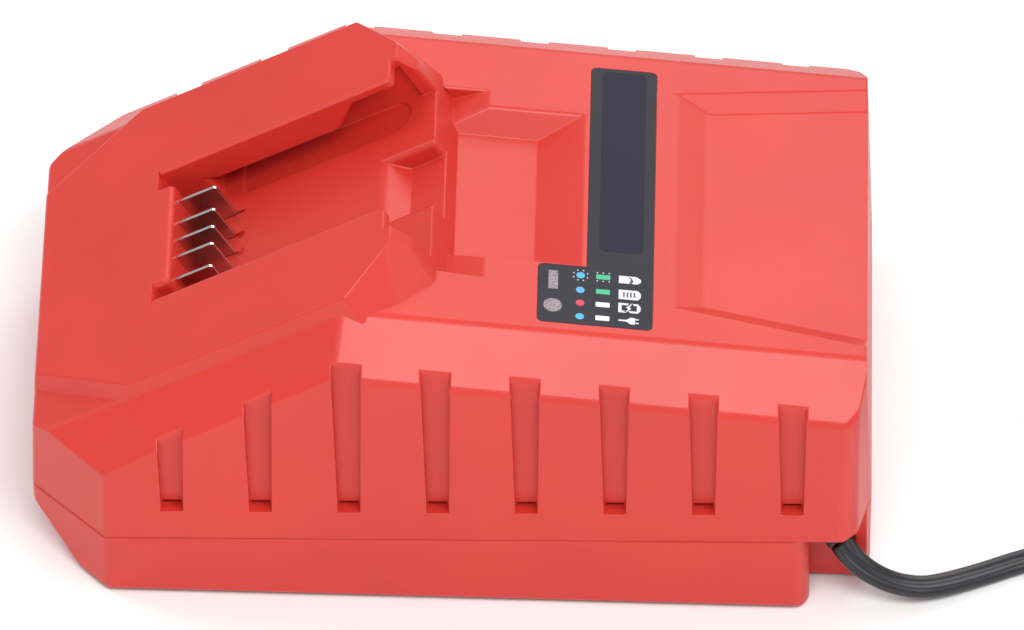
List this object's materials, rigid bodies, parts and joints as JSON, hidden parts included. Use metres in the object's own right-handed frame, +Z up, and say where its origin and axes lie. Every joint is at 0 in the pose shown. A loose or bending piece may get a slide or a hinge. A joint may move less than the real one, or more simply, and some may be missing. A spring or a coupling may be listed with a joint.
{
  "type": "power tool battery charger",
  "caption": "Red plastic charger for slide-in power tool battery packs, with a sloping dock, blade contacts, vent slots, an indicator label and a mains lead.",
  "frame": {"origin": "middle of the footprint on the surface that the feet stand on", "axes": "+Z up, +X along the case from the battery dock's low end to the deck, +Y across the case away from the side where the mains lead comes out"},
  "size_m": [0.3593, 0.143, 0.0948],
  "materials": {
    "case_red": "fine spark-eroded satin",
    "rubber_black": "matt",
    "screw_steel": "zinc plated",
    "moulded_black": "satin",
    "contact_metal": "tin plated, bright",
    "label_grey": "printed satin film",
    "light_pipe": "milky, clear",
    "led_white": "gloss",
    "board_green": "solder mask, satin",
    "connector_white": "satin",
    "ferrite": "sintered, matt",
    "tape_yellow": "polyester tape",
    "sleeve_black": "shrink sleeve",
    "sleeve_blue": "shrink sleeve",
    "film_box": "satin",
    "copper": "enamelled wire",
    "fuse_ceramic": "glazed",
    "varistor_blue": "dipped epoxy",
    "heatsink_metal": "extruded, bare",
    "wire_red": "insulated wire",
    "wire_brown": "insulated wire",
    "cable_grey": "sleeved cable",
    "cord_black": "smooth satin sheath",
    "pin_brass": "bright"
  },
  "bodies": {
    "root": {"lower_case": "case_red", "upper_case": "case_red", "rubber_feet": "rubber_black", "case_screws": "screw_steel", "terminal_block": "moulded_black", "block_screws": "screw_steel", "terminal_blade_1": "contact_metal", "terminal_blade_2": "contact_metal", "terminal_blade_3": "contact_metal", "terminal_blade_4": "contact_metal", "terminal_blade_5": "contact_metal", "terminal_wires": "wire_red", "indicator_label": "label_grey", "light_pipe_bar": "light_pipe", "light_pipe_round": "light_pipe", "indicator_board": "board_green", "indicator_screws": "screw_steel", "status_leds": "led_white", "indicator_cable": "cable_grey", "main_board": "board_green", "board_screws": "screw_steel", "output_connector": "connector_white", "transformer_core": "ferrite", "transformer_winding": "tape_yellow", "transformer_base": "moulded_black", "bulk_capacitor": "sleeve_black", "output_capacitors": "sleeve_blue", "film_capacitor": "film_box", "choke_core": "ferrite", "choke_winding": "copper", "fuse": "fuse_ceramic", "varistor": "varistor_blue", "bridge_rectifier": "moulded_black", "switch_heatsink": "heatsink_metal", "switch_transistor": "moulded_black", "output_heatsink": "heatsink_metal", "output_diode": "moulded_black", "optocoupler": "connector_white", "control_chip": "moulded_black", "mains_leads": "wire_brown", "strain_relief": "moulded_black", "cord": "cord_black", "cord_coil": "cord_black", "cord_tie": "rubber_black", "plug_lead": "cord_black", "plug_body": "moulded_black", "plug_pins": "pin_brass"}
  },
  "joints": []
}
